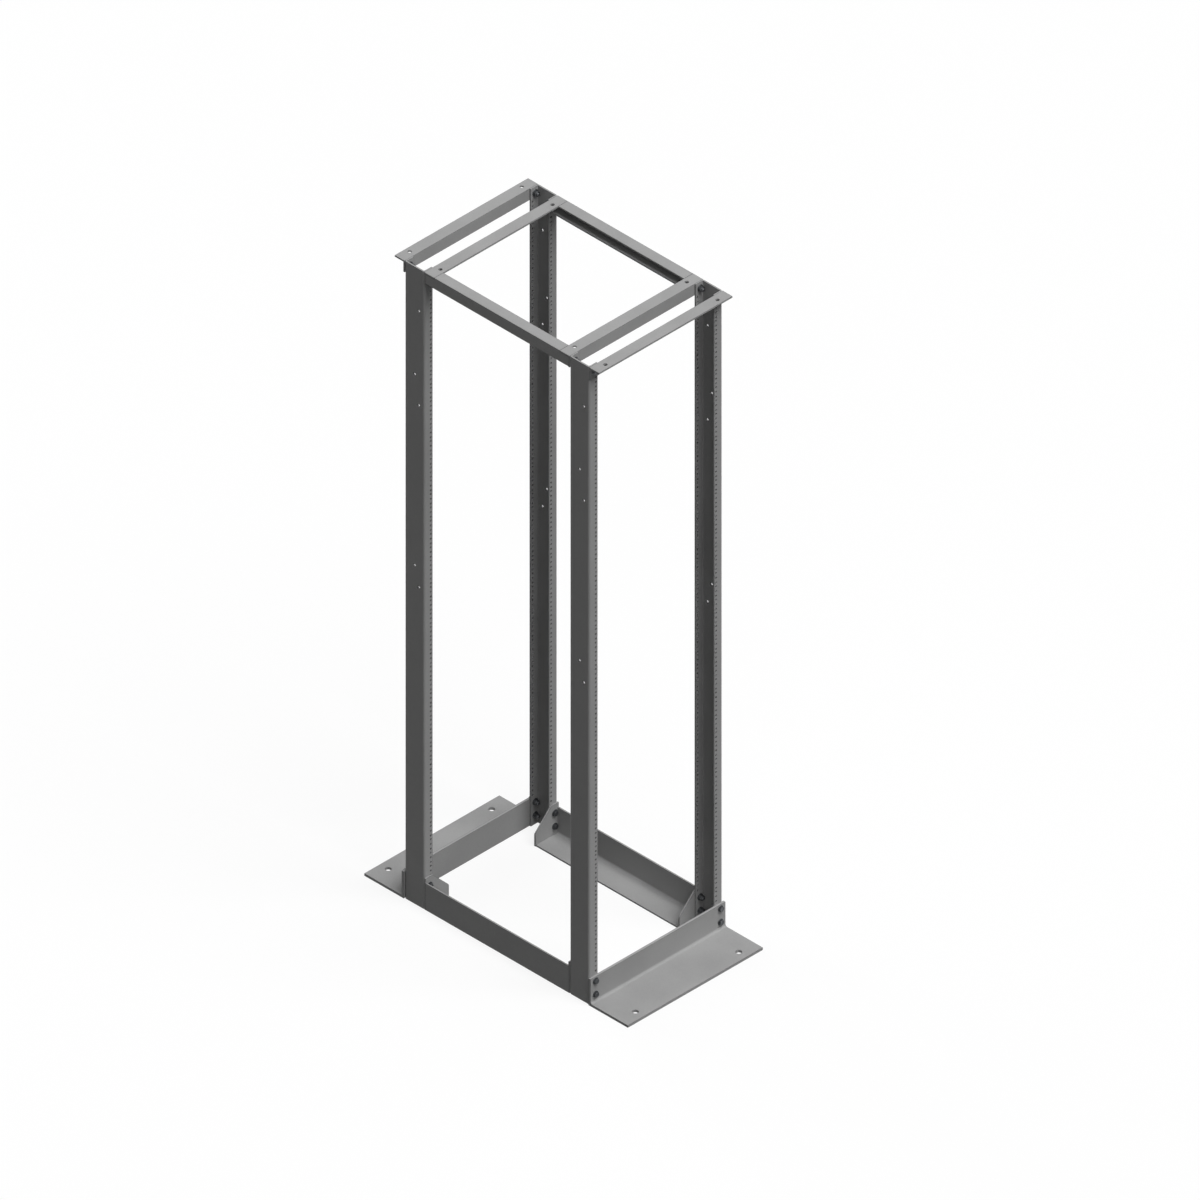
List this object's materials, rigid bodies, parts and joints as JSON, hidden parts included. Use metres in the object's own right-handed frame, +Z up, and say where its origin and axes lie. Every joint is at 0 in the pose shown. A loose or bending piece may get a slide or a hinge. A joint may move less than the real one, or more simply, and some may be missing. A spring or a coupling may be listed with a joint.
{
  "type": "four post open frame rack",
  "caption": "Floor-standing open frame of channel posts on wide angle feet, tied by side angles and top angles, to hold 19 inch equipment.",
  "frame": {"origin": "on the floor at the middle of the footprint", "axes": "+Z up the posts, -Y to the front of the rack, +X to its right"},
  "size_m": [0.522, 1.019, 2.1336],
  "materials": {
    "post_coat": "satin grey powder coat",
    "base_coat": "satin grey powder coat",
    "top_coat": "satin grey powder coat"
  },
  "bodies": {
    "root": {"post_front_left": "post_coat", "post_front_right": "post_coat", "post_rear_left": "post_coat", "post_rear_right": "post_coat", "base_angle_front": "base_coat", "base_angle_rear": "base_coat", "base_side_angle_left": "base_coat", "base_side_angle_right": "base_coat", "base_gusset_front_left": "base_coat", "base_gusset_front_right": "base_coat", "base_gusset_rear_left": "base_coat", "base_gusset_rear_right": "base_coat", "top_angle_front_outer": "top_coat", "top_angle_front_inner": "top_coat", "top_angle_rear_outer": "top_coat", "top_angle_rear_inner": "top_coat", "top_side_channel_left": "top_coat", "top_side_channel_right": "top_coat", "top_end_plate_front_left": "top_coat", "top_end_plate_front_right": "top_coat", "top_end_plate_rear_left": "top_coat", "top_end_plate_rear_right": "top_coat"}
  },
  "joints": []
}
